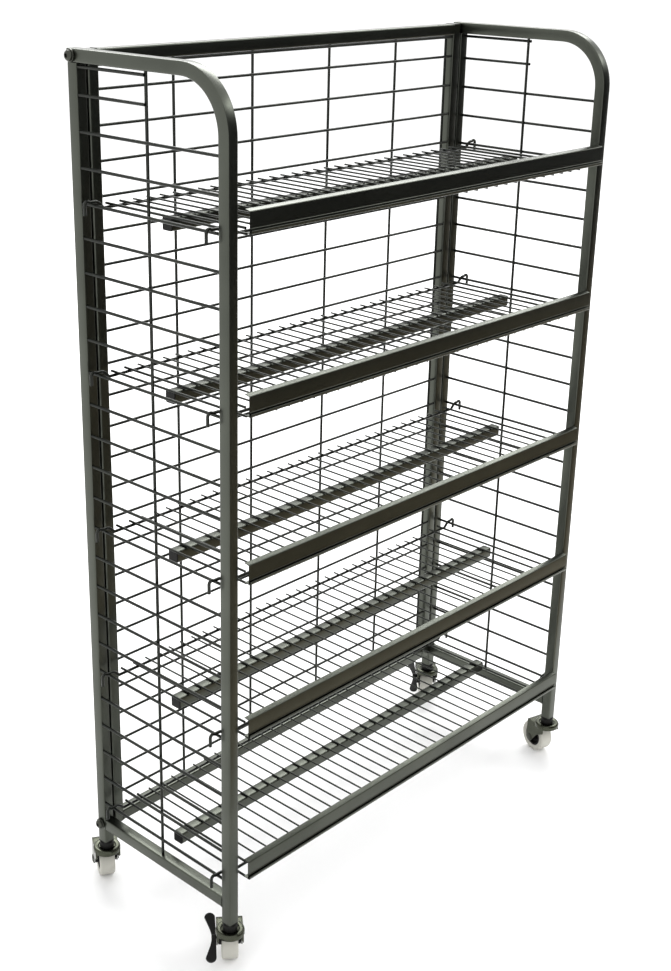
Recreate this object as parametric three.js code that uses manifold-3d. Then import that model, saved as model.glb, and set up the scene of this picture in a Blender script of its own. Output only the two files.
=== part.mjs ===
// Mobile wire display rack: two bent-tube end frames and a back frame with wire grids,
// five hook-on wire shelves with price channels, and four swivel castors, two with brakes.
// Millimetres, +Z up. The origin is on the floor under the middle of the rack,
// the front is at -Y and the left end is at -X.

import * as THREE from 'three';
import { mergeVertices } from 'three/addons/utils/BufferGeometryUtils.js';
import Module from 'manifold-3d';

const wasm = await Module();
wasm.setup();

// ---------- driving dimensions ----------

const WIDTH = 880; // over the end frames
const DEPTH = 320; // over the end frames
const HEIGHT = 1373; // floor to the top of the end frames
const TUBE = 19; // square tube, all frames and shelf supports
const WALL = 1.5;
const TUBE_CORNER = 2; // chamfer that stands for the rolled corner radius
const GAP = 0.3; // between neighbouring pieces

const LEG_END = 84; // lower end of the uprights
const RAIL_UNDERSIDE = 110; // bottom rails
const BEND_RADIUS = 80; // centreline of the top front bend
const BEND_STEPS = 6;
const BACK_SIDE_GAP = 3; // between an end frame and the back frame
const BACK_DROP = 2; // back frame top below the end frame tops

const PITCH = 50; // between the horizontal wires of every grid
const SIDE_WIRE = 4.8;
const FIRST_SIDE_WIRE = 161; // height of the lowest horizontal wire of an end grid
const FULL_SIDE_WIRES = 23; // those that reach the front upright
const SIDE_WIRE_INSET = 4; // from the outer face of the end frame
const SIDE_UPRIGHT_WIRE_Y = 4;
const TOP_STUB_DROP = 5; // topmost short wire below the rail
const BACK_WIRE = 4.5;
const FIRST_BACK_WIRE = 166;
const BACK_WIRES = 24;
const BACK_WIRE_Y = 145;
const BACK_UPRIGHT_XS = [-255, -92, 83, 250, 387]; // spaced by hand, not on the pitch
const BACK_TOP_ROD = 5;
const WELD = 0.4; // how deep crossing wires sink into each other

const SHELVES = 5;
const SHELF_PITCH = 5 * PITCH;
const CROSS_WIRE = 3;
const CROSS_WIRES = 29;
const CROSS_PITCH = 25.4;
const DECK_REAR = 126;
const DECK_FRONT = -168;
const END_ROD = 4;
const INNER_END_ROD_X = 381; // ends at the front hook rod
const OUTER_END_ROD_X = 406.4; // runs on to the price channel
const HOOK_ROD = 5;
const REAR_HOOK_Y = 117;
const FRONT_HOOK_Y = -132;
const LEFT_HOOK_REACH = 12; // outer leg beyond the end frame; the shelves hang a little to the left
const RIGHT_HOOK_REACH = 6;
const HOOK_ROD_DROP = 4.8; // level stretch below the side wires' centres
const HOOK_RADIUS = 5;
const HOOK_ARCH_RISE = 2; // arch centre above the side wires' centres
const RAMP_START = 419; // where the rod begins to climb, from the middle of the rack
const RAMP_LENGTH = 15;
const HOOK_DROP = 12; // tip below the side wires' centres
const ARCH_SWEEP = 135; // degrees, over the side wire and down
const RAMP_STEPS = 3;
const ARCH_STEPS = 4;

const CHANNEL_LEFT = -410;
const CHANNEL_RIGHT = 416;
const CHANNEL_BACK = -160.5;
const CHANNEL_DEPTH = 9.5; // back of the flanges to the face
const CHANNEL_HEIGHT = 32;
const CHANNEL_TOP_FALL = 1.6; // how far the top slopes down to the face
const CHANNEL_SHEET = 1.2;
const TICKET_SLOT = 2; // between the face and the ticket lip
const TICKET_LIP = 5;

const SUPPORT_LENGTH = 806;
const CAP_FLANGE = 2;
const CAP_INSERT = 12;

const BOLT_SHANK = 8;
const BOLT_HEAD = 15;
const BOLT_HEAD_HEIGHT = 5;
const WASHER = 18;
const WASHER_THICKNESS = 3;
const ROUND = 8; // sides of a small round piece

const WHEEL = 60;
const TYRE_WIDTH = 26;
const TYRE_BORE = 40;
const TRAIL = 25; // axle behind the swivel axis
const AXLE = 8;
const AXLE_HEAD = 14;
const AXLE_HEAD_HEIGHT = 1.5;
const RING = 46; // swivel head
const RING_UNDERSIDE = 61.5;
const RING_TOP = 72;
const DISH_DEPTH = 2; // the black neck stands in a shallow dish in the head
const STEM = 10;
const STEM_HEAD = 14;
const STEM_HEAD_HEIGHT = 4;
const STEM_PLUG = 20; // length inside the upright
const NECK = 24;
const FLANGE = 3;
const FORK_INSIDE = 36;
const FORK_PLATE = 3;
const FORK_FRONT = 12; // ahead of the swivel axis
const AXLE_EYE = 9; // radius of the fork's lower end
const HOOD_RADIUS = 38; // outside, about the axle
const HOOD_FRONT = -8;
const HOOD_END = THREE.MathUtils.degToRad(102); // from level ahead, over the wheel
const PEDAL_PIVOT = [-8, 48]; // behind the swivel axis and above the floor
const PEDAL_PIN = 4;
const PEDAL_PIN_LENGTH = 8;
const PEDAL_TILT = 20; // degrees, trailing lobe up
const PEDAL_ARM = 34;
const PEDAL_LOBE = 8.5; // radius
const PEDAL_WAIST = 7;
const PEDAL_THICKNESS = 5;

const CASTORS = [
  { name: 'front_left', side: -1, end: -1, trail: 49, brake: true },
  { name: 'rear_left', side: -1, end: 1, trail: 60, brake: false },
  { name: 'front_right', side: 1, end: -1, trail: 74, brake: false },
  { name: 'rear_right', side: 1, end: 1, trail: 46, brake: true },
];

const finishes = {
  powderCoat: { color: 0x5c615c, roughness: 0.42, metalness: 0.55 },
  wire: { color: 0x4a4e4b, roughness: 0.4, metalness: 0.6 },
  steel: { color: 0x8a8c88, roughness: 0.35, metalness: 0.9 },
  plated: { color: 0x6f756c, roughness: 0.3, metalness: 0.85 },
  blackPlastic: { color: 0x151617, roughness: 0.5, metalness: 0 },
  tyre: { color: 0xb9bab4, roughness: 0.6, metalness: 0 },
};

// ---------- joining and cutting ----------

function solidOf(geometry) {
  const bare = geometry.clone();
  bare.deleteAttribute('normal');
  bare.deleteAttribute('uv');
  const merged = mergeVertices(bare, 1e-4);
  const mesh = new wasm.Mesh({
    numProp: 3,
    vertProperties: new Float32Array(merged.attributes.position.array),
    triVerts: new Uint32Array(merged.index.array),
  });
  return new wasm.Manifold(mesh);
}

function geometryOf(solid) {
  const mesh = solid.getMesh();
  const geometry = new THREE.BufferGeometry();
  geometry.setAttribute('position', new THREE.BufferAttribute(mesh.vertProperties, 3));
  geometry.setIndex(new THREE.BufferAttribute(mesh.triVerts, 1));
  geometry.computeVertexNormals();
  return geometry;
}

function unite(geometries) {
  return geometries.map(solidOf).reduce((whole, piece) => whole.add(piece));
}

function join(geometries) {
  return geometryOf(unite(geometries));
}

function cut(bodies, tools) {
  return geometryOf(unite(bodies).subtract(unite(tools)));
}

// ---------- basic shapes ----------

function block([x0, x1], [y0, y1], [z0, z1]) {
  const geometry = new THREE.BoxGeometry(x1 - x0, y1 - y0, z1 - z0);
  return geometry.translate((x0 + x1) / 2, (y0 + y1) / 2, (z0 + z1) / 2);
}

// A round bar along one axis, from a to b, centred on the other two coordinates.
function bar(axis, a, b, [u, v], diameter, sides = 4) {
  const geometry = new THREE.CylinderGeometry(diameter / 2, diameter / 2, b - a, sides);
  const middle = (a + b) / 2;
  if (axis === 'x') return geometry.rotateZ(Math.PI / 2).translate(middle, u, v);
  if (axis === 'y') return geometry.translate(u, middle, v);
  return geometry.rotateX(Math.PI / 2).translate(u, v, middle);
}

// A path that is sampled exactly at its own stations, so a straight stretch is one step.
class StationPath extends THREE.Curve {
  constructor(stations) {
    super();
    this.stations = stations;
  }
  getPoint(t) {
    const last = this.stations.length - 1;
    const i = Math.min(Math.floor(t * last + 1e-6), last - 1);
    return this.stations[i].clone().lerp(this.stations[i + 1], t * last - i);
  }
  getPointAt(t) {
    return this.getPoint(t);
  }
  getTangentAt(t) {
    const last = this.stations.length - 1;
    const i = Math.round(t * last);
    const before = this.stations[Math.max(i - 1, 0)];
    const after = this.stations[Math.min(i + 1, last)];
    return after.clone().sub(before).normalize();
  }
}

function sweep(section, stations) {
  return new THREE.ExtrudeGeometry(section, {
    steps: stations.length - 1,
    extrudePath: new StationPath(stations),
    bevelEnabled: false,
  });
}

function squareSection(size, corner) {
  const h = size / 2;
  const c = h - corner;
  const points = [[h, -c], [h, c], [c, h], [-c, h], [-h, c], [-h, -c], [-c, -h], [c, -h]];
  const outline = corner > 0 ? points : [[h, -h], [h, h], [-h, h], [-h, -h]];
  return new THREE.Shape(outline.map(([x, y]) => new THREE.Vector2(x, y)));
}

function polygonSection(diameter, sides) {
  const corners = Array.from({ length: sides }, (_, i) => {
    const angle = (2 * Math.PI * i) / sides;
    return new THREE.Vector2((diameter / 2) * Math.cos(angle), (diameter / 2) * Math.sin(angle));
  });
  return new THREE.Shape(corners);
}

// A straight tube, solid, from point a to point b.
function straightTube(size, corner, a, b) {
  return sweep(squareSection(size, corner), [new THREE.Vector3(...a), new THREE.Vector3(...b)]);
}

// A closed outline in the XZ plane, extruded along +Y from y.
function plateXZ(shape, y, thickness) {
  const options = { depth: thickness, bevelEnabled: false, curveSegments: 4 };
  const geometry = new THREE.ExtrudeGeometry(shape, options);
  return geometry.rotateX(Math.PI / 2).translate(0, y + thickness, 0);
}

function ring(profile, sides) {
  const points = profile.map(([r, z]) => new THREE.Vector2(r, z));
  return new THREE.LatheGeometry([...points, points[0]], sides).rotateX(Math.PI / 2);
}

function piece(name, geometry, finish) {
  const mesh = new THREE.Mesh(geometry, new THREE.MeshStandardMaterial(finishes[finish]));
  mesh.name = name;
  return mesh;
}

// ---------- end frames ----------

const outerX = WIDTH / 2;
const tubeX = outerX - TUBE / 2;
const tubeY = DEPTH / 2 - TUBE / 2;
const boltZs = { bottom: RAIL_UNDERSIDE + TUBE / 2, top: HEIGHT - TUBE / 2 };

// Stations up the front upright, round the bend and back along the top rail.
function bentTubeStations(x, footZ, rearY) {
  const top = HEIGHT - TUBE / 2;
  const stations = [new THREE.Vector3(x, -tubeY, footZ)];
  for (let i = 0; i <= BEND_STEPS; i++) {
    const angle = (Math.PI / 2) * (i / BEND_STEPS);
    const y = -tubeY + BEND_RADIUS * (1 - Math.cos(angle));
    const z = top - BEND_RADIUS * (1 - Math.sin(angle));
    stations.push(new THREE.Vector3(x, y, z));
  }
  stations.push(new THREE.Vector3(x, rearY, top));
  return stations;
}

function frameTubes(x, size, corner, inset) {
  const railZ = RAIL_UNDERSIDE + TUBE / 2;
  const footZ = LEG_END - inset;
  return [
    sweep(squareSection(size, corner), bentTubeStations(x, footZ, DEPTH / 2 - inset)),
    straightTube(size, corner, [x, tubeY, footZ], [x, tubeY, HEIGHT - TUBE / 2 + inset]),
    straightTube(size, corner, [x, -tubeY, railZ], [x, tubeY, railZ]),
  ];
}

function boltHoles(side, fromX, toX) {
  const ends = [side * fromX, side * toX].sort((a, b) => a - b);
  const diameter = BOLT_SHANK + 2 * GAP;
  return Object.values(boltZs).map((z) => bar('x', ...ends, [tubeY, z], diameter, ROUND));
}

function endFrame(side) {
  const x = side * tubeX;
  const outside = frameTubes(x, TUBE, TUBE_CORNER, 0);
  const inside = frameTubes(x, TUBE - 2 * WALL, 0, WALL);
  const holes = boltHoles(side, outerX - TUBE - 1, outerX + 1);
  return cut(outside, [...inside, ...holes]);
}

function sideGrid(side) {
  const x = side * (outerX - SIDE_WIRE_INSET);
  const end = DEPTH / 2 - TUBE - GAP;
  const wires = [];
  for (let i = 0; i < FULL_SIDE_WIRES; i++) {
    wires.push(bar('y', -end, end, [x, FIRST_SIDE_WIRE + i * PITCH], SIDE_WIRE));
  }
  const stubEnd = SIDE_UPRIGHT_WIRE_Y - SIDE_WIRE / 2;
  const stubZs = [FIRST_SIDE_WIRE + FULL_SIDE_WIRES * PITCH, HEIGHT - TUBE - TOP_STUB_DROP];
  for (const z of stubZs) wires.push(bar('y', stubEnd, end, [x, z], SIDE_WIRE));
  const uprightX = x - side * (SIDE_WIRE - WELD);
  const uprightZs = [RAIL_UNDERSIDE + TUBE + GAP, HEIGHT - TUBE - GAP];
  wires.push(bar('z', ...uprightZs, [uprightX, SIDE_UPRIGHT_WIRE_Y], SIDE_WIRE));
  return join(wires);
}

// ---------- back ----------

const backOuterX = outerX - TUBE - BACK_SIDE_GAP;
const backTop = HEIGHT - BACK_DROP;

function backTubes(size, corner, inset) {
  const stileX = backOuterX - TUBE / 2;
  const footZ = RAIL_UNDERSIDE - inset;
  const railZs = [RAIL_UNDERSIDE + TUBE / 2, backTop - TUBE / 2];
  const stiles = [-stileX, stileX].map((x) =>
    straightTube(size, corner, [x, tubeY, footZ], [x, tubeY, backTop - inset]),
  );
  const rails = railZs.map((z) =>
    straightTube(size, corner, [-stileX, tubeY, z], [stileX, tubeY, z]),
  );
  return [...stiles, ...rails];
}

function backFrame() {
  const inside = backTubes(TUBE - 2 * WALL, 0, WALL);
  const holes = [-1, 1].flatMap((side) => boltHoles(side, backOuterX - TUBE / 2, backOuterX + 1));
  return cut(backTubes(TUBE, TUBE_CORNER, 0), [...inside, ...holes]);
}

function backGrid() {
  const end = backOuterX - TUBE - GAP;
  const wires = [];
  for (let i = 0; i < BACK_WIRES; i++) {
    wires.push(bar('x', -end, end, [BACK_WIRE_Y, FIRST_BACK_WIRE + i * PITCH], BACK_WIRE));
  }
  const railUnderside = backTop - TUBE;
  const topRodZ = railUnderside - GAP - BACK_TOP_ROD / 2;
  wires.push(bar('x', -end, end, [BACK_WIRE_Y, topRodZ], BACK_TOP_ROD));
  const uprightY = BACK_WIRE_Y + BACK_WIRE - WELD;
  const uprightZs = [RAIL_UNDERSIDE + TUBE + GAP, railUnderside - GAP];
  for (const x of BACK_UPRIGHT_XS) {
    wires.push(bar('z', ...uprightZs, [x, uprightY], BACK_WIRE));
  }
  return join(wires);
}

// A bolt with a washer under its head, from outside an end frame into the back frame.
function frameBolt(side, z) {
  const face = outerX + GAP;
  const along = (a, b) => [side * a, side * b].sort((p, q) => p - q);
  const washerFace = face + WASHER_THICKNESS;
  return join([
    bar('x', ...along(backOuterX - TUBE / 2, washerFace + 1), [tubeY, z], BOLT_SHANK, ROUND),
    bar('x', ...along(face, washerFace), [tubeY, z], WASHER, 12),
    bar('x', ...along(washerFace - 0.5, washerFace + BOLT_HEAD_HEIGHT), [tubeY, z], BOLT_HEAD, 6),
  ]);
}

// ---------- shelves ----------
// A shelf is drawn with its side wires' height at z = 0.

const crossWireZ = -HOOK_ROD_DROP + (HOOK_ROD + CROSS_WIRE) / 2 - WELD;
const crossWireUnderside = crossWireZ - CROSS_WIRE / 2;
const endRodZ = -HOOK_ROD_DROP + (HOOK_ROD + END_ROD) / 2 - WELD;

// The rod's end climbs over the side wire, arches and drops outside the end frame.
function hookStations(side, y) {
  const legX = outerX + (side < 0 ? LEFT_HOOK_REACH : RIGHT_HOOK_REACH);
  const arch = Array.from({ length: ARCH_STEPS + 1 }, (_, i) => {
    const angle = THREE.MathUtils.degToRad(ARCH_SWEEP * (1 - i / ARCH_STEPS));
    const x = legX - HOOK_RADIUS + HOOK_RADIUS * Math.cos(angle);
    return [x, HOOK_ARCH_RISE + HOOK_RADIUS * Math.sin(angle)];
  });
  const climb = arch[0][1] + HOOK_ROD_DROP;
  const ramp = Array.from({ length: RAMP_STEPS + 1 }, (_, i) => {
    const climbed = Math.sin((Math.PI / 2) * (i / RAMP_STEPS));
    return [RAMP_START + (RAMP_LENGTH * i) / RAMP_STEPS, climb * climbed - HOOK_ROD_DROP];
  });
  const stations = [...ramp, ...arch, [legX, -HOOK_DROP]];
  return stations.map(([x, z]) => new THREE.Vector3(side * x, y, z));
}

function hookRod(y) {
  const left = hookStations(-1, y).reverse();
  return sweep(polygonSection(HOOK_ROD, 4), [...left, ...hookStations(1, y)]);
}

function wireDeck() {
  const wires = [hookRod(REAR_HOOK_Y), hookRod(FRONT_HOOK_Y)];
  const firstX = (-CROSS_PITCH * (CROSS_WIRES - 1)) / 2;
  for (let i = 0; i < CROSS_WIRES; i++) {
    const x = firstX + i * CROSS_PITCH;
    wires.push(bar('y', DECK_FRONT, DECK_REAR, [x, crossWireZ], CROSS_WIRE));
  }
  const channelBack = CHANNEL_BACK + GAP;
  for (const side of [-1, 1]) {
    const inner = [side * INNER_END_ROD_X, endRodZ];
    const outer = [side * OUTER_END_ROD_X, endRodZ];
    wires.push(bar('y', FRONT_HOOK_Y, DECK_REAR, inner, END_ROD));
    wires.push(bar('y', channelBack, DECK_REAR, outer, END_ROD));
  }
  return join(wires);
}

// C-section open to the rear, with an upturned lip that holds tickets against its face.
function priceChannel() {
  const face = CHANNEL_DEPTH;
  const lip = face + TICKET_SLOT;
  const top = CHANNEL_HEIGHT;
  const fall = CHANNEL_TOP_FALL;
  const t = CHANNEL_SHEET;
  const outline = [
    [0, 0], [lip + t, 0], [lip + t, TICKET_LIP], [lip, TICKET_LIP], [lip, t], [face, t],
    [face, top - fall], [0, top], [0, top - t], [face - t, top - fall - t], [face - t, t], [0, t],
  ];
  const section = new THREE.Shape(outline.map(([forward, up]) => new THREE.Vector2(forward, up)));
  const geometry = new THREE.ExtrudeGeometry(section, {
    depth: CHANNEL_RIGHT - CHANNEL_LEFT,
    bevelEnabled: false,
  });
  geometry.rotateX(Math.PI / 2).rotateZ(-Math.PI / 2);
  const bottom = crossWireZ + CROSS_WIRE / 2 + GAP;
  return geometry.translate(CHANNEL_RIGHT, CHANNEL_BACK, bottom);
}

const supportZ = crossWireUnderside - GAP - TUBE / 2;

function supportTube() {
  const end = SUPPORT_LENGTH / 2 - CAP_FLANGE - GAP;
  const section = squareSection(TUBE, TUBE_CORNER);
  section.holes.push(squareSection(TUBE - 2 * WALL, 0));
  return sweep(section, [new THREE.Vector3(-end, 0, supportZ), new THREE.Vector3(end, 0, supportZ)]);
}

function tubeCap(side) {
  const faceX = SUPPORT_LENGTH / 2;
  const insert = TUBE - 2 * WALL - 2 * GAP;
  const from = faceX - CAP_FLANGE - CAP_INSERT;
  return join([
    straightTube(TUBE, TUBE_CORNER, [side * (faceX - CAP_FLANGE), 0, supportZ], [side * faceX, 0, supportZ]),
    straightTube(insert, 0, [side * from, 0, supportZ], [side * (faceX - 0.5), 0, supportZ]),
  ]);
}

function shelf(number) {
  const group = new THREE.Group();
  const name = `shelf_${number}`;
  group.add(piece(`${name}_wire_deck`, wireDeck(), 'wire'));
  group.add(piece(`${name}_price_channel`, priceChannel(), 'powderCoat'));
  group.add(piece(`${name}_support_tube`, supportTube(), 'powderCoat'));
  group.add(piece(`${name}_tube_cap_left`, tubeCap(-1), 'blackPlastic'));
  group.add(piece(`${name}_tube_cap_right`, tubeCap(1), 'blackPlastic'));
  group.position.z = FIRST_SIDE_WIRE + (SHELVES - number) * SHELF_PITCH;
  return group;
}

// ---------- castors ----------
// A castor is drawn with its swivel axis on Z, its wheel trailing towards -X.

// Square plug in the upright's end, with the neck and the stem that the fork turns on.
function castorStem() {
  const insert = TUBE - 2 * WALL - 2 * GAP;
  const flangeFoot = LEG_END - FLANGE;
  const neckFoot = RING_TOP - DISH_DEPTH + GAP;
  const headTop = RING_UNDERSIDE - GAP;
  return join([
    block([-insert / 2, insert / 2], [-insert / 2, insert / 2], [flangeFoot + 1, LEG_END + STEM_PLUG]),
    block([-TUBE / 2, TUBE / 2], [-TUBE / 2, TUBE / 2], [flangeFoot, LEG_END - GAP]),
    bar('z', neckFoot, flangeFoot + 1, [0, 0], NECK, 12),
    bar('z', headTop - 2, neckFoot + 1, [0, 0], STEM, ROUND),
    bar('z', headTop - STEM_HEAD_HEIGHT, headTop, [0, 0], STEM_HEAD, ROUND),
  ]);
}

// One side plate seen along the axle: level under the head, round the wheel, in to the axle.
function forkPlateOutline() {
  const axleZ = WHEEL / 2;
  const shape = new THREE.Shape();
  shape.moveTo(FORK_FRONT, axleZ + HOOD_RADIUS);
  shape.absarc(-TRAIL, axleZ, HOOD_RADIUS, Math.PI / 2, HOOD_END, false);
  shape.absarc(-TRAIL, axleZ, AXLE_EYE, Math.PI * 0.9, Math.PI * 1.65, false);
  shape.lineTo(-5, axleZ + 13);
  shape.lineTo(FORK_FRONT, RING_UNDERSIDE - 8);
  return shape;
}

// The sheet that joins the side plates over the wheel, seen along the axle.
function forkHoodOutline() {
  const axleZ = WHEEL / 2;
  const inside = HOOD_RADIUS - FORK_PLATE;
  const shape = new THREE.Shape();
  shape.moveTo(HOOD_FRONT, axleZ + inside);
  shape.lineTo(HOOD_FRONT, axleZ + HOOD_RADIUS);
  shape.absarc(-TRAIL, axleZ, HOOD_RADIUS, Math.PI / 2, HOOD_END, false);
  shape.absarc(-TRAIL, axleZ, inside, HOOD_END, Math.PI / 2, true);
  return shape;
}

function castorHead() {
  const r = RING / 2;
  const bore = STEM / 2 + GAP;
  const dish = NECK / 2 + 1.5;
  const edge = 2;
  const profile = [
    [bore, RING_UNDERSIDE], [r - edge, RING_UNDERSIDE], [r, RING_UNDERSIDE + edge],
    [r, RING_TOP - 2 * edge], [r - 2 * edge, RING_TOP], [dish + 1, RING_TOP],
    [dish, RING_TOP - DISH_DEPTH], [bore, RING_TOP - DISH_DEPTH],
  ];
  return ring(profile, 12);
}

function brakePin(plateFace) {
  return bar('y', -plateFace - PEDAL_PIN_LENGTH, 1 - plateFace, PEDAL_PIVOT, PEDAL_PIN, ROUND);
}

function castorFork(withBrake) {
  const inner = FORK_INSIDE / 2;
  const outer = inner + FORK_PLATE;
  const plates = [-outer, inner].map((y) => plateXZ(forkPlateOutline(), y, FORK_PLATE));
  const hood = plateXZ(forkHoodOutline(), -inner - 1, FORK_INSIDE + 2);
  const parts = [castorHead(), ...plates, hood];
  if (withBrake) parts.push(brakePin(outer));
  const axleHole = bar('y', -outer - 1, outer + 1, [-TRAIL, WHEEL / 2], AXLE + 2 * GAP, ROUND);
  return cut(parts, [axleHole]);
}

function castorAxle() {
  const face = FORK_INSIDE / 2 + FORK_PLATE + GAP;
  const at = [-TRAIL, WHEEL / 2];
  return join([
    bar('y', -face - 1, face + 1, at, AXLE, ROUND),
    bar('y', -face - AXLE_HEAD_HEIGHT, -face, at, AXLE_HEAD, ROUND),
    bar('y', face, face + AXLE_HEAD_HEIGHT, at, AXLE_HEAD, ROUND),
  ]);
}

function atAxle(geometry) {
  return geometry.rotateX(Math.PI / 2).translate(-TRAIL, 0, WHEEL / 2);
}

function castorTyre() {
  const r = WHEEL / 2;
  const w = TYRE_WIDTH / 2;
  const profile = [
    [TYRE_BORE / 2, -w + 1], [r - 4, -w], [r - 1, -w + 2.5], [r, -w + 6],
    [r, w - 6], [r - 1, w - 2.5], [r - 4, w], [TYRE_BORE / 2, w - 1],
  ];
  return atAxle(ring(profile, 18));
}

function castorHub() {
  const rim = TYRE_BORE / 2 - GAP;
  const boss = 8;
  const bossEnd = FORK_INSIDE / 2 - GAP;
  const w = TYRE_WIDTH / 2 - 1.5;
  const web = 4;
  const bore = AXLE / 2 + GAP;
  const profile = [
    [bore, -bossEnd], [boss, -bossEnd], [boss, -web], [rim - 3, -web], [rim - 3, -w], [rim, -w],
    [rim, w], [rim - 3, w], [rim - 3, web], [boss, web], [boss, bossEnd], [bore, bossEnd],
  ];
  return atAxle(ring(profile, 12));
}

// Rocker pedal beside the wheel: two round lobes on a waisted arm with an eye round its pin.
function brakePedal() {
  const [pivotX, pivotZ] = PEDAL_PIVOT;
  const plateFace = -(FORK_INSIDE / 2 + FORK_PLATE);
  const innerY = plateFace - 3 * GAP;
  const waistY = innerY - PEDAL_WAIST;
  const lobeY = innerY - PEDAL_LOBE;
  const outline = new THREE.Shape();
  outline.moveTo(-PEDAL_ARM, innerY);
  outline.absarc(-PEDAL_ARM, lobeY, PEDAL_LOBE, Math.PI / 2, Math.PI * 1.5, false);
  outline.lineTo(0, waistY);
  outline.lineTo(PEDAL_ARM, lobeY - PEDAL_LOBE);
  outline.absarc(PEDAL_ARM, lobeY, PEDAL_LOBE, -Math.PI / 2, Math.PI / 2, false);
  const options = { depth: PEDAL_THICKNESS, bevelEnabled: false, curveSegments: 4 };
  const arm = new THREE.ExtrudeGeometry(outline, options).translate(0, 0, -PEDAL_THICKNESS / 2);
  const eye = bar('y', waistY, plateFace - GAP, [0, 0], 10, ROUND);
  const bore = bar('y', waistY - 5, 0, [0, 0], PEDAL_PIN + 2 * GAP, ROUND);
  const pedal = cut([arm, eye], [bore]);
  return pedal.rotateY(THREE.MathUtils.degToRad(PEDAL_TILT)).translate(pivotX, 0, pivotZ);
}

function castor({ name, side, end, trail, brake }) {
  const group = new THREE.Group();
  const turning = new THREE.Group();
  turning.add(piece(`${name}_castor_fork`, castorFork(brake), 'plated'));
  turning.add(piece(`${name}_castor_axle`, castorAxle(), 'steel'));
  turning.add(piece(`${name}_castor_hub`, castorHub(), 'blackPlastic'));
  turning.add(piece(`${name}_castor_tyre`, castorTyre(), 'tyre'));
  if (brake) turning.add(piece(`${name}_brake_pedal`, brakePedal(), 'blackPlastic'));
  turning.rotation.z = THREE.MathUtils.degToRad(trail + 180);
  group.add(piece(`${name}_castor_stem`, castorStem(), 'blackPlastic'), turning);
  group.position.set(side * tubeX, end * tubeY, 0);
  return group;
}

// ---------- the whole rack ----------

const rack = new THREE.Group();
for (const [name, side] of [['left', -1], ['right', 1]]) {
  rack.add(piece(`${name}_end_frame`, endFrame(side), 'powderCoat'));
  rack.add(piece(`${name}_side_wire_grid`, sideGrid(side), 'wire'));
  for (const [level, z] of Object.entries(boltZs)) {
    rack.add(piece(`${name}_${level}_frame_bolt`, frameBolt(side, z), 'steel'));
  }
}
rack.add(piece('back_frame', backFrame(), 'powderCoat'));
rack.add(piece('back_wire_grid', backGrid(), 'wire'));
for (let number = 1; number <= SHELVES; number++) rack.add(shelf(number));
for (const spec of CASTORS) rack.add(castor(spec));

// Centre the footprint, trailing castors included, over the origin.
const middle = new THREE.Box3().setFromObject(rack, true).getCenter(new THREE.Vector3());
rack.position.set(-middle.x, -middle.y, 0);

export default rack;
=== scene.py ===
import bpy
import math
from mathutils import Matrix, Vector


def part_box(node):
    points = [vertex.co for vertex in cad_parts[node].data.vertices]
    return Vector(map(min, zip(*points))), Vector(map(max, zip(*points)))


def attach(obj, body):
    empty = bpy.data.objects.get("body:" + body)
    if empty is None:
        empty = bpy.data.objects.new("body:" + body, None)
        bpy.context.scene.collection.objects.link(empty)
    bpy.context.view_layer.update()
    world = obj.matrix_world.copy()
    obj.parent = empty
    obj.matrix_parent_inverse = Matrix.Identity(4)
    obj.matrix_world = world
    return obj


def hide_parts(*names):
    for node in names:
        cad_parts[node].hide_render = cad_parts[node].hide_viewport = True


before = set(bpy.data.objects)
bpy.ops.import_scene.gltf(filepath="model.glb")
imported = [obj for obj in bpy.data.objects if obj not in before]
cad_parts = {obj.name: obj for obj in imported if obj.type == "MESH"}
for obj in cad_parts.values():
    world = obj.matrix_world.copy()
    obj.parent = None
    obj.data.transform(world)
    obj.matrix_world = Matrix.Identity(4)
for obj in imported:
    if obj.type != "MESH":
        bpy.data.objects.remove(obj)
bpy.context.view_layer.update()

MM = 0.001
SHARP_ANGLE = math.radians(35)  # faces that meet more steeply keep a crisp edge
ON_AXIS = 0.01  # radius that closes a turned piece at its axis

# ---------- dimensions, in millimetres, as in the CAD ----------

WIDTH = 880
DEPTH = 320
HEIGHT = 1373
TUBE = 19
TUBE_CORNER = 2.6
GAP = 0.3
LEG_END = 84
RAIL_UNDERSIDE = 110
BEND_RADIUS = 80
BACK_SIDE_GAP = 3
BACK_DROP = 2
WELD_BEAD_PROUD = 1.2
WELD_BEAD_WIDTH = 1.8

PITCH = 50
SIDE_WIRE = 4.8
FIRST_SIDE_WIRE = 161
FULL_SIDE_WIRES = 23
SIDE_WIRE_INSET = 4
SIDE_UPRIGHT_WIRE_Y = 4
TOP_STUB_DROP = 5
BACK_WIRE = 4.5
FIRST_BACK_WIRE = 166
BACK_WIRES = 24
BACK_WIRE_Y = 145
BACK_UPRIGHT_XS = (-255, -92, 83, 250, 387)
BACK_TOP_ROD = 5
WELD = 0.4

SHELVES = 5
SHELF_PITCH = 5 * PITCH
CROSS_WIRE = 3
CROSS_WIRES = 29
CROSS_PITCH = 25.4
DECK_REAR = 126
DECK_FRONT = -168
END_ROD = 4
INNER_END_ROD_X = 381
OUTER_END_ROD_X = 406.4
HOOK_ROD = 5
REAR_HOOK_Y = 117
FRONT_HOOK_Y = -132
LEFT_HOOK_REACH = 12
RIGHT_HOOK_REACH = 6
HOOK_ROD_DROP = 4.8
HOOK_RADIUS = 5
HOOK_ARCH_RISE = 2
RAMP_START = 419
RAMP_LENGTH = 15
HOOK_DROP = 12
ARCH_SWEEP = 135
RAMP_STEPS = 8

CHANNEL_LEFT = -410
CHANNEL_RIGHT = 416
CHANNEL_BACK = -160.5
CHANNEL_DEPTH = 9.5
CHANNEL_HEIGHT = 32
CHANNEL_TOP_FALL = 1.6
CHANNEL_SHEET = 1.2
TICKET_SLOT = 2
TICKET_LIP = 5
LIP_HEM = 1

SUPPORT_LENGTH = 806
CAP_FLANGE = 2

BOLT_HEAD = 15
WASHER = 18
WASHER_THICKNESS = 3
BOLT_HEAD_HEIGHT = 5

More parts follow.
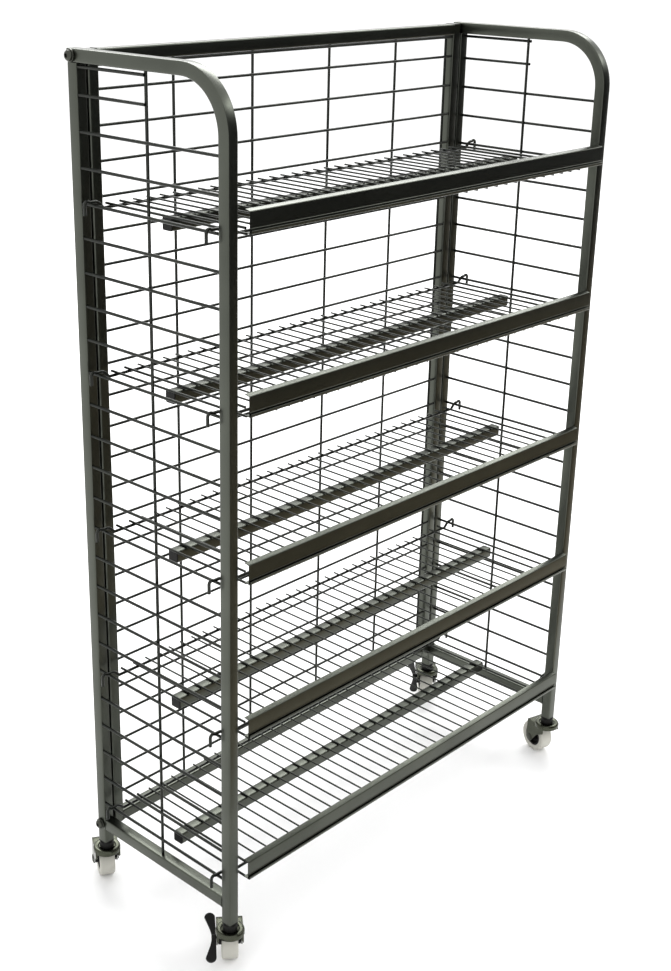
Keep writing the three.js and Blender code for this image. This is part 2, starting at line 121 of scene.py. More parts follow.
WHEEL = 60
TYRE_WIDTH = 26
TYRE_BORE = 40
TRAIL = 25
AXLE_HEAD = 14
AXLE_HEAD_HEIGHT = 1.5
RING = 46
RING_UNDERSIDE = 61.5
RING_TOP = 72
DISH_DEPTH = 2
STEM = 10
NECK = 24
FLANGE = 3
FORK_INSIDE = 36
FORK_PLATE = 3
FORK_FRONT = 12
AXLE_EYE = 9
HOOD_RADIUS = 38
HOOD_FRONT = -8
HOOD_END = 102
PEDAL_PIVOT = (-8, 48)
PEDAL_PIN = 4
PEDAL_PIN_LENGTH = 8
PEDAL_TILT = 20
PEDAL_ARM = 34
PEDAL_LOBE = 8.5
PEDAL_WAIST = 7
PEDAL_THICKNESS = 5

CASTORS = {
    "front_left": {"side": -1, "end": -1, "trail": 49, "brake": True},
    "rear_left": {"side": -1, "end": 1, "trail": 60, "brake": False},
    "front_right": {"side": 1, "end": -1, "trail": 74, "brake": False},
    "rear_right": {"side": 1, "end": 1, "trail": 46, "brake": True},
}

OUTER_X = WIDTH / 2
TUBE_X = OUTER_X - TUBE / 2
TUBE_Y = DEPTH / 2 - TUBE / 2
BACK_OUTER_X = OUTER_X - TUBE - BACK_SIDE_GAP
BACK_TOP = HEIGHT - BACK_DROP


def middle_of_rack():
    """The CAD stands its footprint over the origin, so the frames' own centre lies a little off it."""
    left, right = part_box("left_end_frame"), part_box("right_end_frame")
    return Vector(((left[0].x + right[1].x) / 2, (left[0].y + left[1].y) / 2, 0))


RACK = Matrix.Translation(middle_of_rack())


# ---------- materials ----------


def node_material(name, color, roughness, metallic=0.0):
    """A principled surface, its nodes, and its links."""
    material = bpy.data.materials.new(name)
    material.use_nodes = True
    nodes = material.node_tree.nodes
    shader = nodes["Principled BSDF"]
    shader.inputs["Base Color"].default_value = (*color, 1)
    shader.inputs["Roughness"].default_value = roughness
    shader.inputs["Metallic"].default_value = metallic
    return material, nodes, material.node_tree.links, shader


def noise(nodes, links, scale, detail=3.0):
    coords = nodes.new("ShaderNodeTexCoord")
    texture = nodes.new("ShaderNodeTexNoise")
    texture.inputs["Scale"].default_value = scale
    texture.inputs["Detail"].default_value = detail
    links.new(coords.outputs["Object"], texture.inputs["Vector"])
    return texture.outputs["Fac"]


def vary_color(nodes, links, shader, factor, dark, light):
    ramp = nodes.new("ShaderNodeValToRGB")
    ramp.color_ramp.elements[0].position = 0.3
    ramp.color_ramp.elements[0].color = (*dark, 1)
    ramp.color_ramp.elements[1].position = 0.7
    ramp.color_ramp.elements[1].color = (*light, 1)
    links.new(factor, ramp.inputs["Fac"])
    links.new(ramp.outputs["Color"], shader.inputs["Base Color"])


def vary_roughness(nodes, links, shader, factor, low, high):
    remap = nodes.new("ShaderNodeMapRange")
    remap.inputs["To Min"].default_value = low
    remap.inputs["To Max"].default_value = high
    links.new(factor, remap.inputs["Value"])
    links.new(remap.outputs["Result"], shader.inputs["Roughness"])


def add_bump(nodes, links, shader, factor, strength, distance):
    bump = nodes.new("ShaderNodeBump")
    bump.inputs["Strength"].default_value = strength
    bump.inputs["Distance"].default_value = distance
    links.new(factor, bump.inputs["Height"])
    links.new(bump.outputs["Normal"], shader.inputs["Normal"])


def surface(name, dark, light, roughness, metallic, specular, grain, bump):
    """Colour and roughness drift over the piece, and a fine grain roughens it."""
    middle = [(a + b) / 2 for a, b in zip(dark, light)]
    material, nodes, links, shader = node_material(name, middle, roughness, metallic)
    shader.inputs["Specular IOR Level"].default_value = specular
    drift = noise(nodes, links, 9)
    vary_color(nodes, links, shader, drift, dark, light)
    fine = noise(nodes, links, grain, 2.0)
    vary_roughness(nodes, links, shader, fine, roughness - 0.06, roughness + 0.06)
    add_bump(nodes, links, shader, fine, bump, 0.0003)
    return material


MATERIALS = {
    "frame_paint": surface(
        "powder_coat", (0.068, 0.073, 0.061), (0.086, 0.092, 0.077), 0.30, 1.0, 0.5, 900, 0.10
    ),
    # The wires carry the frame's own powder coat, made darker here as painted shade: thin wires lit from
    # behind look near black.
    "wire_paint": surface(
        "wire_coat_with_painted_shade", (0.024, 0.026, 0.024), (0.036, 0.038, 0.033), 0.34, 1.0, 0.5, 900, 0.10
    ),
    "castor_metal": surface(
        "castor_metal", (0.050, 0.054, 0.040), (0.078, 0.083, 0.062), 0.26, 1.0, 0.5, 500, 0.06
    ),
    "bolt_steel": surface(
        "bolt_steel", (0.045, 0.047, 0.040), (0.085, 0.088, 0.074), 0.3, 1.0, 0.5, 700, 0.08
    ),
    "black_plastic": surface(
        "black_plastic", (0.005, 0.005, 0.005), (0.010, 0.010, 0.009), 0.42, 0.0, 0.15, 600, 0.15
    ),
    "grey_tyre": surface(
        "grey_tyre", (0.40, 0.395, 0.35), (0.50, 0.49, 0.44), 0.55, 0.0, 0.4, 700, 0.2
    ),
}


# ---------- meshes ----------


def finish_piece(obj, body, slot, *nodes):
    """Give a piece its surface and body, and let it stand for its CAD nodes."""
    obj.data.materials.append(MATERIALS[slot])
    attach(obj, body)
    if nodes:
        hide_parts(*nodes)
    return obj


def object_from(name, vertices, faces, place=RACK):
    """A smooth-shaded mesh from millimetre vertices, sharp only where faces meet steeply."""
    mesh = bpy.data.meshes.new(name)
    mesh.from_pydata([Vector(v) * MM for v in vertices], [], faces)
    mesh.transform(place)
    mesh.shade_smooth()
    mesh.set_sharp_from_angle(angle=SHARP_ANGLE)
    obj = bpy.data.objects.new(name, mesh)
    bpy.context.scene.collection.objects.link(obj)
    return obj


def merge(name, parts, place=RACK):
    """One object from several (vertices, faces) pairs."""
    vertices, faces = [], []
    for part_vertices, part_faces in parts:
        start = len(vertices)
        vertices += part_vertices
        faces += [[start + i for i in face] for face in part_faces]
    return object_from(name, vertices, faces, place)


def loft(rings, closed=False):
    """Skin over rings of equal point counts, capped at both ends unless closed on itself."""
    count = len(rings[0])
    vertices = [p for ring in rings for p in ring]
    faces = []
    pairs = len(rings) if closed else len(rings) - 1
    for i in range(pairs):
        a, b = i * count, ((i + 1) % len(rings)) * count
        for j in range(count):
            k = (j + 1) % count
            faces.append([a + j, a + k, b + k, b + j])
    if not closed:
        faces.append(list(range(count))[::-1])
        faces.append([(len(rings) - 1) * count + j for j in range(count)])
    return vertices, faces


def rounded_square(size, radius, steps=4):
    """Corner-rounded outline, as (across, along) pairs."""
    inner = size / 2 - radius
    points = []
    for corner, (cx, cy) in enumerate([(1, 1), (-1, 1), (-1, -1), (1, -1)]):
        for i in range(steps + 1):
            angle = math.pi / 2 * (corner + i / steps)
            x = cx * inner + radius * math.cos(angle)
            points.append((x, cy * inner + radius * math.sin(angle)))
    return points


def sweep(section, path, normal):
    """A section carried along a path that lies in the plane with that normal."""
    path = [Vector(p) for p in path]
    normal = Vector(normal)
    rings = []
    for i, p in enumerate(path):
        tangent = (path[min(i + 1, len(path) - 1)] - path[max(i - 1, 0)]).normalized()
        across = normal.cross(tangent)
        rings.append([p + normal * u + across * v for u, v in section])
    return loft(rings)


def tube(a, b):
    """A straight square tube between two points, closed at its ends."""
    direction = Vector(b) - Vector(a)
    normal = (0, 1, 0) if abs(direction.y) < 1e-6 else (1, 0, 0)
    return sweep(rounded_square(TUBE, TUBE_CORNER), [a, b], normal)


def turned(profile, steps=48):
    """A profile of (radius, height) pairs turned about Z and closed on itself."""
    rings = []
    for i in range(steps):
        angle = 2 * math.pi * i / steps
        c, s = math.cos(angle), math.sin(angle)
        rings.append([Vector((r * c, r * s, z)) for r, z in profile])
    return loft(rings, closed=True)


def plate(outline, thickness):
    """A closed outline in XY, thickened upwards from z = 0."""
    low = [Vector((x, y, 0)) for x, y in outline]
    high = [Vector((x, y, thickness)) for x, y in outline]
    return loft([low, high])


def moved(part, matrix):
    vertices, faces = part
    return [matrix @ v for v in vertices], faces


def arc(cx, cy, radius, start, end, steps):
    """Points on a circle between two angles in degrees."""
    points = []
    for i in range(steps + 1):
        angle = math.radians(start + (end - start) * i / steps)
        points.append((cx + radius * math.cos(angle), cy + radius * math.sin(angle)))
    return points


def bevel(obj, width):
    modifier = obj.modifiers.new("bevel", "BEVEL")
    modifier.width = width * MM
    modifier.segments = 3
    modifier.limit_method = "ANGLE"
    modifier.angle_limit = SHARP_ANGLE
    modifier.harden_normals = True
    return obj


def wires(name, runs):
    """One object of round wires. Each run is (diameter, points)."""
    curve = bpy.data.curves.new(name, "CURVE")
    curve.dimensions = "3D"
    curve.bevel_depth = MM / 2
    curve.bevel_resolution = 3
    curve.use_fill_caps = True
    for diameter, points in runs:
        spline = curve.splines.new("POLY")
        spline.points.add(len(points) - 1)
        for target, point in zip(spline.points, points):
            place = RACK @ (Vector(point) * MM)
            target.co = (*place, 1)
            target.radius = diameter
    obj = bpy.data.objects.new(name, curve)
    bpy.context.scene.collection.objects.link(obj)
    return obj


# ---------- end frames and back ----------


def bent_tube_path(x):
    """Up the front upright, round the bend and back along the top rail."""
    top = HEIGHT - TUBE / 2
    path = [(x, -TUBE_Y, LEG_END)]
    for angle in range(0, 91, 5):
        c, s = math.cos(math.radians(angle)), math.sin(math.radians(angle))
        path.append((x, -TUBE_Y + BEND_RADIUS * (1 - c), top - BEND_RADIUS * (1 - s)))
    path.append((x, DEPTH / 2, top))
    return path


def weld_bead(centre, normal):
    """A thin rounded collar where one tube butts on another."""
    outline = rounded_square(TUBE + WELD_BEAD_PROUD, TUBE_CORNER + 1)
    direction = Vector(normal) * WELD_BEAD_WIDTH / 2
    start = Vector(centre) - direction
    across = (1, 0, 0) if normal[0] == 0 else (0, 1, 0)
    return sweep(outline, [start, start + 2 * direction], across)


def end_frame(name, side):
    x = side * TUBE_X
    rail = RAIL_UNDERSIDE + TUBE / 2
    inner = TUBE_Y - TUBE / 2
    parts = [
        sweep(rounded_square(TUBE, TUBE_CORNER), bent_tube_path(x), (1, 0, 0)),
        tube((x, TUBE_Y, LEG_END), (x, TUBE_Y, HEIGHT - TUBE)),
        tube((x, -inner, rail), (x, inner, rail)),
        weld_bead((x, -inner, rail), (0, 1, 0)),
        weld_bead((x, inner, rail), (0, 1, 0)),
    ]
    frame_piece = merge(f"{name}_end_frame_tubes", parts)
    finish_piece(frame_piece, "rack", "frame_paint", f"{name}_end_frame")


def side_grid(name, side):
    x = side * (OUTER_X - SIDE_WIRE_INSET)
    end = DEPTH / 2 - TUBE - GAP
    runs = []
    for i in range(FULL_SIDE_WIRES):
        z = FIRST_SIDE_WIRE + i * PITCH
        runs.append((SIDE_WIRE, [(x, -end, z), (x, end, z)]))
    stub_end = SIDE_UPRIGHT_WIRE_Y - SIDE_WIRE / 2
    for z in (FIRST_SIDE_WIRE + FULL_SIDE_WIRES * PITCH, HEIGHT - TUBE - TOP_STUB_DROP):
        runs.append((SIDE_WIRE, [(x, stub_end, z), (x, end, z)]))
    upright_x = x - side * (SIDE_WIRE - WELD)
    foot, head = RAIL_UNDERSIDE + TUBE + GAP, HEIGHT - TUBE - GAP
    runs.append(
        (SIDE_WIRE, [(upright_x, SIDE_UPRIGHT_WIRE_Y, foot), (upright_x, SIDE_UPRIGHT_WIRE_Y, head)])
    )
    grid = wires(f"{name}_side_round_wires", runs)
    finish_piece(grid, "rack", "wire_paint", f"{name}_side_wire_grid")


def back_frame():
    stile_x = BACK_OUTER_X - TUBE / 2
    inner = BACK_OUTER_X - TUBE
    parts = []
    for x in (-stile_x, stile_x):
        parts.append(tube((x, TUBE_Y, RAIL_UNDERSIDE), (x, TUBE_Y, BACK_TOP)))
    for z in (RAIL_UNDERSIDE + TUBE / 2, BACK_TOP - TUBE / 2):
        parts.append(tube((-inner, TUBE_Y, z), (inner, TUBE_Y, z)))
        parts.append(weld_bead((-inner, TUBE_Y, z), (1, 0, 0)))
        parts.append(weld_bead((inner, TUBE_Y, z), (1, 0, 0)))
    finish_piece(merge("back_frame_tubes", parts), "rack", "frame_paint", "back_frame")


def back_grid():
    end = BACK_OUTER_X - TUBE - GAP
    runs = []
    for i in range(BACK_WIRES):
        z = FIRST_BACK_WIRE + i * PITCH
        runs.append((BACK_WIRE, [(-end, BACK_WIRE_Y, z), (end, BACK_WIRE_Y, z)]))
    rail_underside = BACK_TOP - TUBE
    z = rail_underside - GAP - BACK_TOP_ROD / 2
    runs.append((BACK_TOP_ROD, [(-end, BACK_WIRE_Y, z), (end, BACK_WIRE_Y, z)]))
    y = BACK_WIRE_Y + BACK_WIRE - WELD
    foot, head = RAIL_UNDERSIDE + TUBE + GAP, rail_underside - GAP
    for x in BACK_UPRIGHT_XS:
        runs.append((BACK_WIRE, [(x, y, foot), (x, y, head)]))
    finish_piece(wires("back_round_wires", runs), "rack", "wire_paint", "back_wire_grid")


def frame_bolt(name, side, level):
    """A domed head with a driver recess, on a thick washer."""
    z = RAIL_UNDERSIDE + TUBE / 2 if level == "bottom" else HEIGHT - TUBE / 2
    washer_face = GAP + WASHER_THICKNESS
    head = BOLT_HEAD / 2
    top = washer_face + BOLT_HEAD_HEIGHT
    washer = turned(
        [(2, GAP), (WASHER / 2, GAP), (WASHER / 2, washer_face - 0.5),
         (WASHER / 2 - 0.5, washer_face), (2, washer_face)]
    )
    dome = turned(
        [(ON_AXIS, washer_face), (head, washer_face), (head, washer_face + 2),
         (head - 0.8, top - 1.6), (head - 2.6, top - 0.3), (3, top), (2.6, top - 2), (ON_AXIS, top - 2)]
    )
    outwards = Matrix.Rotation(side * math.pi / 2, 4, "Y")
    place = Matrix.Translation((side * OUTER_X, TUBE_Y, z)) @ outwards
    piece = merge(f"{name}_{level}_bolt_and_washer", [moved(p, place) for p in (washer, dome)])
    finish_piece(piece, "rack", "bolt_steel", f"{name}_{level}_frame_bolt")


# ---------- shelves ----------

CROSS_WIRE_Z = -HOOK_ROD_DROP + (HOOK_ROD + CROSS_WIRE) / 2 - WELD
END_ROD_Z = -HOOK_ROD_DROP + (HOOK_ROD + END_ROD) / 2 - WELD
SUPPORT_Z = CROSS_WIRE_Z - CROSS_WIRE / 2 - GAP - TUBE / 2


def hook_half(side, y, base):
    """From the level stretch up over the side wire, round the arch and down its leg."""
    leg_x = OUTER_X + (LEFT_HOOK_REACH if side < 0 else RIGHT_HOOK_REACH)
    arch = arc(leg_x - HOOK_RADIUS, HOOK_ARCH_RISE, HOOK_RADIUS, ARCH_SWEEP, 0, 9)
    climb = arch[0][1] + HOOK_ROD_DROP
    points = []
    for i in range(RAMP_STEPS + 1):
        climbed = math.sin(math.pi / 2 * i / RAMP_STEPS)
        points.append((RAMP_START + RAMP_LENGTH * i / RAMP_STEPS, climb * climbed - HOOK_ROD_DROP))
    points += arch + [(leg_x, -HOOK_DROP)]
    return [(side * x, y, base + z) for x, z in points]


def wire_deck(number, base):
    runs = []
    for y in (REAR_HOOK_Y, FRONT_HOOK_Y):
        rod = hook_half(-1, y, base)[::-1] + hook_half(1, y, base)
        runs.append((HOOK_ROD, rod))
    first_x = -CROSS_PITCH * (CROSS_WIRES - 1) / 2
    z = base + CROSS_WIRE_Z
    for i in range(CROSS_WIRES):
        x = first_x + i * CROSS_PITCH
        runs.append((CROSS_WIRE, [(x, DECK_FRONT, z), (x, DECK_REAR, z)]))
    rod_z = base + END_ROD_Z
    for side in (-1, 1):
        for x, front in ((INNER_END_ROD_X, FRONT_HOOK_Y), (OUTER_END_ROD_X, CHANNEL_BACK + GAP)):
            runs.append((END_ROD, [(side * x, front, rod_z), (side * x, DECK_REAR, rod_z)]))
    name = f"shelf_{number}"
    deck = wires(f"{name}_round_wires", runs)
    finish_piece(deck, name, "wire_paint", f"{name}_wire_deck")


def rolled_channel_outline():
    """The channel's section as (forward, up) pairs: rounded folds, a hemmed lip and a bead above it."""
    face, lip, t = CHANNEL_DEPTH, CHANNEL_DEPTH + TICKET_SLOT, CHANNEL_SHEET
    top = CHANNEL_HEIGHT
    front_top = top - CHANNEL_TOP_FALL
    fold = 1.8
    bead = 0.7
    outline = [(0, 0)]
    outline += arc(lip + t - fold, fold, fold, -90, 0, 4)
    outline += arc(lip + t / 2, TICKET_LIP - LIP_HEM, LIP_HEM, -30, 210, 8)
    outline += [(lip, t + 0.3), (lip - 0.3, t), (face + 0.3, t), (face, t + 0.3)]
    outline += arc(face, TICKET_LIP + 2, bead, -90, 90, 5)
    outline += arc(face - fold, front_top - fold, fold, 0, 80, 4)
    outline += [(0.6, top), (0, top - 0.4), (0, top - t)]
    outline += [(face - t, front_top - t), (face - t, t), (0, t)]
    return outline


def price_channel(number, base):
    bottom = base + CROSS_WIRE_Z + CROSS_WIRE / 2 + GAP
    rings = []
    for x in (CHANNEL_LEFT, CHANNEL_RIGHT):
        rings.append([Vector((x, CHANNEL_BACK - f, bottom + u)) for f, u in rolled_channel_outline()])
    name = f"shelf_{number}"
    channel = object_from(f"{name}_rolled_channel", *loft(rings))
    finish_piece(channel, name, "frame_paint", f"{name}_price_channel")


def support_tube(number, base):
    end = SUPPORT_LENGTH / 2 - CAP_FLANGE - GAP
    z = base + SUPPORT_Z
    name = f"shelf_{number}"
    parts = [tube((-end, 0, z), (end, 0, z))]
    finish_piece(merge(f"{name}_support", parts), name, "frame_paint", f"{name}_support_tube")
    for word, side in (("left", -1), ("right", 1)):
        outer = side * SUPPORT_LENGTH / 2
        inner = side * (SUPPORT_LENGTH / 2 - CAP_FLANGE)
        cap = merge(f"{name}_cap_{word}", [tube((inner, 0, z), (outer, 0, z))])
        bevel(cap, 0.6)
        finish_piece(cap, name, "black_plastic", f"{name}_tube_cap_{word}")


# ---------- castors ----------
# A castor is drawn with its swivel axis on Z and its wheel trailing towards -X.


def castor_corner(spec):
    """Under the upright, with the swivel axis on Z."""
    spot = Vector((spec["side"] * TUBE_X, spec["end"] * TUBE_Y, 0)) * MM
    return RACK @ Matrix.Translation(spot)


def castor_place(spec):
    """The same corner, turned to the angle at which the castor trails."""
    return castor_corner(spec) @ Matrix.Rotation(math.radians(spec["trail"] + 180), 4, "Z")


HEIGHT_TO_FRONT = Matrix.Rotation(math.pi / 2, 4, "X")  # lays a piece's height along -Y
AT_AXLE = Matrix.Translation((-TRAIL, 0, WHEEL / 2)) @ HEIGHT_TO_FRONT


def castor_stem(name, spec):
    """The black plug under the upright and its round neck, which stands in the swivel head's dish."""
    flange_foot = LEG_END - FLANGE
    foot = RING_TOP - DISH_DEPTH + GAP
    r = NECK / 2
    flange = sweep(
        rounded_square(TUBE, TUBE_CORNER), [(0, 0, flange_foot), (0, 0, LEG_END - GAP)], (1, 0, 0)
    )
    neck = turned(
        [(ON_AXIS, RING_UNDERSIDE), (STEM / 2, RING_UNDERSIDE), (STEM / 2, foot), (r - 0.5, foot),
         (r, foot + 0.5), (r, foot + 4), (r - 1, flange_foot), (ON_AXIS, flange_foot)]
    )
    piece = merge(f"{name}_stem_plug", [flange, neck], castor_corner(spec))
    finish_piece(piece, "rack", "black_plastic", f"{name}_castor_stem")


def swivel_head():
    """A thick ring with a rolled rim round a shallow dish."""
    r, foot, top = RING / 2, RING_UNDERSIDE, RING_TOP
    dish = NECK / 2 + 1.5
    rim = arc(r - 4, top - 4, 4, 0, 90, 6)
    profile = [(STEM / 2 + 0.6, foot), (r - 2, foot), (r - 0.5, foot + 0.6), (r, foot + 2)]
    profile += rim + [(dish + 2.2, top), (dish + 0.8, top - 0.6)]
    profile += [(dish, top - DISH_DEPTH), (STEM / 2 + 0.6, top - DISH_DEPTH)]
    return turned(profile, 64)


def fork_plate_outline():
    """One side plate, seen along the axle, as (x, z) pairs."""
    axle = WHEEL / 2
    outline = [(FORK_FRONT, axle + HOOD_RADIUS)]
    outline += arc(-TRAIL, axle, HOOD_RADIUS, 90, HOOD_END, 10)
    outline += arc(-TRAIL, axle, AXLE_EYE, 162, 297, 12)
    outline += [(-9, axle + 8), (-5, axle + 13), (0, axle + 17), (FORK_FRONT, RING_UNDERSIDE - 8)]
    return outline


def fork_hood_outline():
    """The sheet over the wheel that joins the side plates, as (x, z) pairs."""
    axle = WHEEL / 2
    inside = HOOD_RADIUS - FORK_PLATE
    outline = [(HOOD_FRONT, axle + inside), (HOOD_FRONT, axle + HOOD_RADIUS)]
    outline += arc(-TRAIL, axle, HOOD_RADIUS, 90, HOOD_END, 10)
    outline += arc(-TRAIL, axle, inside, HOOD_END, 90, 10)
    return outline


def castor_fork(name, spec):
    inner = FORK_INSIDE / 2
    parts = [swivel_head()]
    for y in (-inner, inner + FORK_PLATE):
        side_plate = plate(fork_plate_outline(), FORK_PLATE)
        parts.append(moved(side_plate, Matrix.Translation((0, y, 0)) @ HEIGHT_TO_FRONT))
    hood = plate(fork_hood_outline(), FORK_INSIDE + 4)
    parts.append(moved(hood, Matrix.Translation((0, inner + 2, 0)) @ HEIGHT_TO_FRONT))
    if spec["brake"]:
        r, length = PEDAL_PIN / 2, PEDAL_PIN_LENGTH
        pin = turned([(ON_AXIS, 0), (r, 0), (r, length), (ON_AXIS, length)], 24)
        pivot = Matrix.Translation((PEDAL_PIVOT[0], -inner - FORK_PLATE, PEDAL_PIVOT[1]))
        parts.append(moved(pin, pivot @ HEIGHT_TO_FRONT))
    fork = merge(f"{name}_swivel_fork", parts, castor_place(spec))
    bevel(fork, 1.0)
    finish_piece(fork, f"{name}_castor", "castor_metal", f"{name}_castor_fork")


def castor_axle(name, spec):
    """A domed rivet head at one end and a hexagon nut at the other."""
    face = FORK_INSIDE / 2 + FORK_PLATE + GAP
    r, top = AXLE_HEAD / 2, face + AXLE_HEAD_HEIGHT
    shaft = turned([(ON_AXIS, -face - 1), (4, -face - 1), (4, face + 1), (ON_AXIS, face + 1)], 24)
    dome = turned([(ON_AXIS, face), (r, face), (r - 0.4, face + 0.8), (r - 3, top), (ON_AXIS, top)])
    nut = turned([(ON_AXIS, -face), (r, -face), (r, -top), (ON_AXIS, -top)], 6)
    parts = [moved(part, AT_AXLE) for part in (shaft, dome, nut)]
    axle = merge(f"{name}_axle_bolt", parts, castor_place(spec))
    finish_piece(axle, f"{name}_castor", "bolt_steel", f"{name}_castor_axle")


def castor_tyre(name, spec):
    """A flat tread with rounded shoulders and a shallow sidewall step."""
    r, w = WHEEL / 2, TYRE_WIDTH / 2
    shoulder = 3.2
    half = [(TYRE_BORE / 2, w - 1.2), (TYRE_BORE / 2 + 2, w - 0.3), (r - shoulder - 1, w)]
    half += [(r - shoulder + shoulder * math.sin(a), w - shoulder + shoulder * math.cos(a))
             for a in (math.radians(d) for d in range(0, 91, 15))]
    profile = half + [(x, -z) for x, z in reversed(half)]
    tyre = merge(f"{name}_tread_and_sidewall", [moved(turned(profile, 72), AT_AXLE)], castor_place(spec))
    finish_piece(tyre, f"{name}_wheel", "grey_tyre", f"{name}_castor_tyre")


def castor_hub(name, spec):
    """A dished rim, a web and a boss that runs out to the fork."""
    rim, boss, web = TYRE_BORE / 2 - GAP, 8, 4
    w, end = TYRE_WIDTH / 2 - 1.5, FORK_INSIDE / 2 - GAP
    half = [(4.2, end), (boss - 0.6, end), (boss, end - 0.6), (boss + 0.8, web + 1.5),
            (boss + 2.5, web), (rim - 4, web), (rim - 3, web + 1), (rim - 2.4, w), (rim, w)]
    profile = half + [(x, -z) for x, z in reversed(half)]
    hub = merge(f"{name}_wheel_hub", [moved(turned(profile, 64), AT_AXLE)], castor_place(spec))
    finish_piece(hub, f"{name}_wheel", "black_plastic", f"{name}_castor_hub")


def brake_pedal(name, spec):
    """A rocker pedal: two round lobes on a waisted arm, with an eye round its pin."""
    plate_face = -(FORK_INSIDE / 2 + FORK_PLATE)
    inner = plate_face - 3 * GAP
    waist = inner - PEDAL_WAIST
    lobe_y = inner - PEDAL_LOBE
    outline = arc(-PEDAL_ARM, lobe_y, PEDAL_LOBE, 90, 262, 14)
    outline += [(-14, waist - 2), (-5, waist), (5, waist), (14, waist - 2)]
    outline += arc(PEDAL_ARM, lobe_y, PEDAL_LOBE, -82, 90, 14)
    arm = moved(plate(outline, PEDAL_THICKNESS), Matrix.Translation((0, 0, -PEDAL_THICKNESS / 2)))
    reach = plate_face - GAP - waist
    eye = turned([(2.3, 0), (5, 0), (5, reach), (2.3, reach)], 32)
    eye = moved(eye, Matrix.Translation((0, plate_face - GAP, 0)) @ HEIGHT_TO_FRONT)
    tilt = Matrix.Rotation(math.radians(PEDAL_TILT), 4, "Y")
    pivot = Matrix.Translation((PEDAL_PIVOT[0], 0, PEDAL_PIVOT[1])) @ tilt
    pedal = merge(f"{name}_rocker_pedal", [moved(p, pivot) for p in (arm, eye)], castor_place(spec))
    bevel(pedal, 1.2)
    finish_piece(pedal, f"{name}_brake", "black_plastic", f"{name}_brake_pedal")


# ---------- the whole rack ----------

for end_name, end_side in (("left", -1), ("right", 1)):
    end_frame(end_name, end_side)
    side_grid(end_name, end_side)
    for bolt_level in ("bottom", "top"):
        frame_bolt(end_name, end_side, bolt_level)
back_frame()
back_grid()
for shelf_number in range(1, SHELVES + 1):
    shelf_base = FIRST_SIDE_WIRE + (SHELVES - shelf_number) * SHELF_PITCH
    wire_deck(shelf_number, shelf_base)
    price_channel(shelf_number, shelf_base)
    support_tube(shelf_number, shelf_base)
for castor_name, castor_spec in CASTORS.items():
    castor_stem(castor_name, castor_spec)
    castor_fork(castor_name, castor_spec)
    castor_axle(castor_name, castor_spec)
    castor_tyre(castor_name, castor_spec)
    castor_hub(castor_name, castor_spec)
    if castor_spec["brake"]:
        brake_pedal(castor_name, castor_spec)


# ---------- floor, light and camera ----------


def pale_floor():
    bpy.ops.mesh.primitive_plane_add(size=400, location=(0, 0, 0))
    floor = bpy.context.object
    floor.name = "studio_floor"
    material, nodes, links, shader = node_material("pale_floor", (0.92, 0.92, 0.92), 0.8)
    add_bump(nodes, links, shader, noise(nodes, links, 300), 0.03, 0.0005)
    floor.data.materials.append(material)


def area_light(name, place, target, size, power):
    """A rectangular lamp, (width, height) in metres, hidden from the camera."""
    data = bpy.data.lights.new(name, "AREA")
    data.shape = "RECTANGLE"
    data.size, data.size_y = size
    data.energy = power
    lamp = bpy.data.objects.new(name, data)
    lamp.location = place
    lamp.rotation_euler = (Vector(target) - Vector(place)).to_track_quat("-Z", "Y").to_euler()
    lamp.visible_camera = False
    bpy.context.scene.collection.objects.link(lamp)


def reflected_card(name, place, size, tilt, low, high):
    """A card seen only in reflections, its colour running from one edge to the other."""
    bpy.ops.mesh.primitive_plane_add(size=1, location=place, rotation=(tilt, 0, 0))
    card = bpy.context.object
    card.name = name
    card.scale = (*size, 1)
    material, nodes, links, shader = node_material(name, high, 0.9)
    coords = nodes.new("ShaderNodeTexCoord")
    parts = nodes.new("ShaderNodeSeparateXYZ")
    links.new(coords.outputs["Generated"], parts.inputs["Vector"])
    vary_color(nodes, links, shader, parts.outputs["Y"], low, high)
    card.data.materials.append(material)
    card.visible_camera = False
    card.visible_diffuse = False
    card.visible_shadow = False


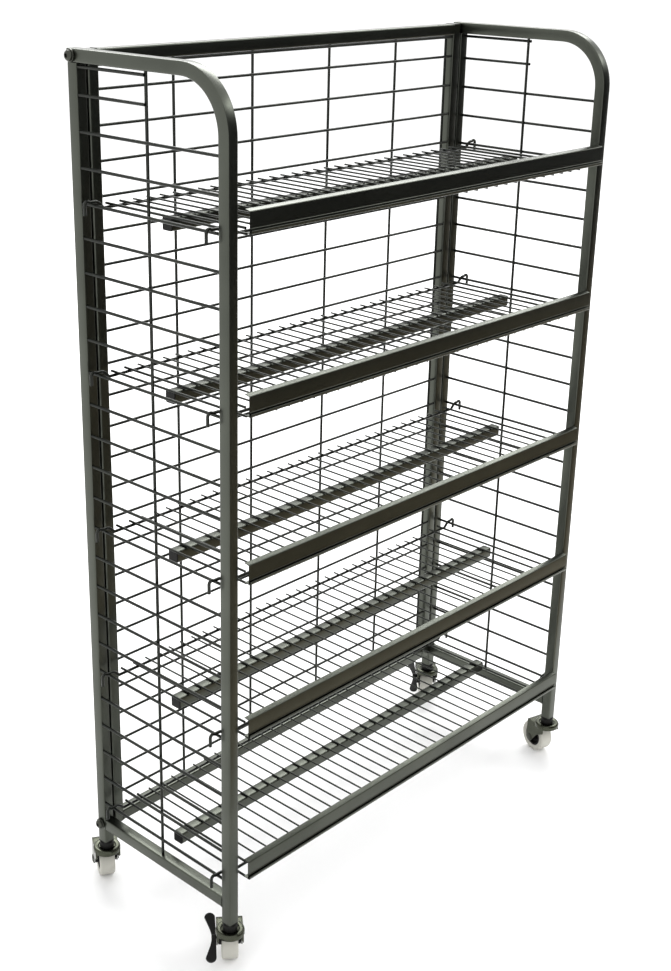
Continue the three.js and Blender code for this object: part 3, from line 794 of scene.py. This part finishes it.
def studio_light():
    """A white surround, two soft lamps, and coloured cards that show only in reflections."""
    world = bpy.data.worlds.new("studio")
    world.use_nodes = True
    background = world.node_tree.nodes["Background"]
    background.inputs["Color"].default_value = (1, 1, 1, 1)
    background.inputs["Strength"].default_value = 1.25
    bpy.context.scene.world = world
    bpy.context.scene.view_settings.view_transform = "Standard"
    area_light("high_behind", (3.4, 3.4, 5.2), (0, 0, 0.9), (7, 2.2), 400)
    area_light("front_right", (4.3, -3.0, 4.2), (0, 0, 0.9), (3, 1.2), 60)
    black, brown, light_brown = (0.008, 0.009, 0.012), (0.17, 0.14, 0.095), (0.40, 0.33, 0.23)
    reflected_card("dark_wall", (2.0, -1.15, 0.6), (4.4, 1.2), math.pi / 2, brown, black)
    reflected_card("dark_wall_top", (2.0, -1.15, 1.65), (4.4, 0.9), math.pi / 2, black, black)
    reflected_card("brown_floor", (1.6, -0.85, 0.004), (3.8, 0.6), 0, brown, light_brown)


SENSOR = 36
IMAGE_HEIGHT = 971
FOCAL_LENGTH_IN_PIXELS = 1430.1


def photo_camera():
    """The camera solved from the rack's own straight lines in the picture."""
    yaw, pitch, roll = 0.812, -0.361, 0.015
    forward = Vector((math.sin(yaw) * math.cos(pitch), math.cos(yaw) * math.cos(pitch), math.sin(pitch)))
    level = Vector((math.cos(yaw), -math.sin(yaw), 0))
    rise = level.cross(forward)
    right = level * math.cos(roll) + rise * math.sin(roll)
    up = right.cross(forward)
    turn = Matrix((right, up, -forward)).transposed().to_4x4()
    data = bpy.data.cameras.new("photo_camera")
    data.sensor_fit = "VERTICAL"
    data.sensor_height = SENSOR
    data.lens = SENSOR * FOCAL_LENGTH_IN_PIXELS / IMAGE_HEIGHT
    data.shift_x = 0.0412
    data.shift_y = -0.0331
    data.clip_end = 50
    camera = bpy.data.objects.new("photo_camera", data)
    spot = middle_of_rack() + Vector((-1.6893, -1.4691, 1.5493))
    camera.matrix_world = Matrix.Translation(spot) @ turn
    bpy.context.scene.collection.objects.link(camera)
    bpy.context.scene.camera = camera


pale_floor()
studio_light()
photo_camera()
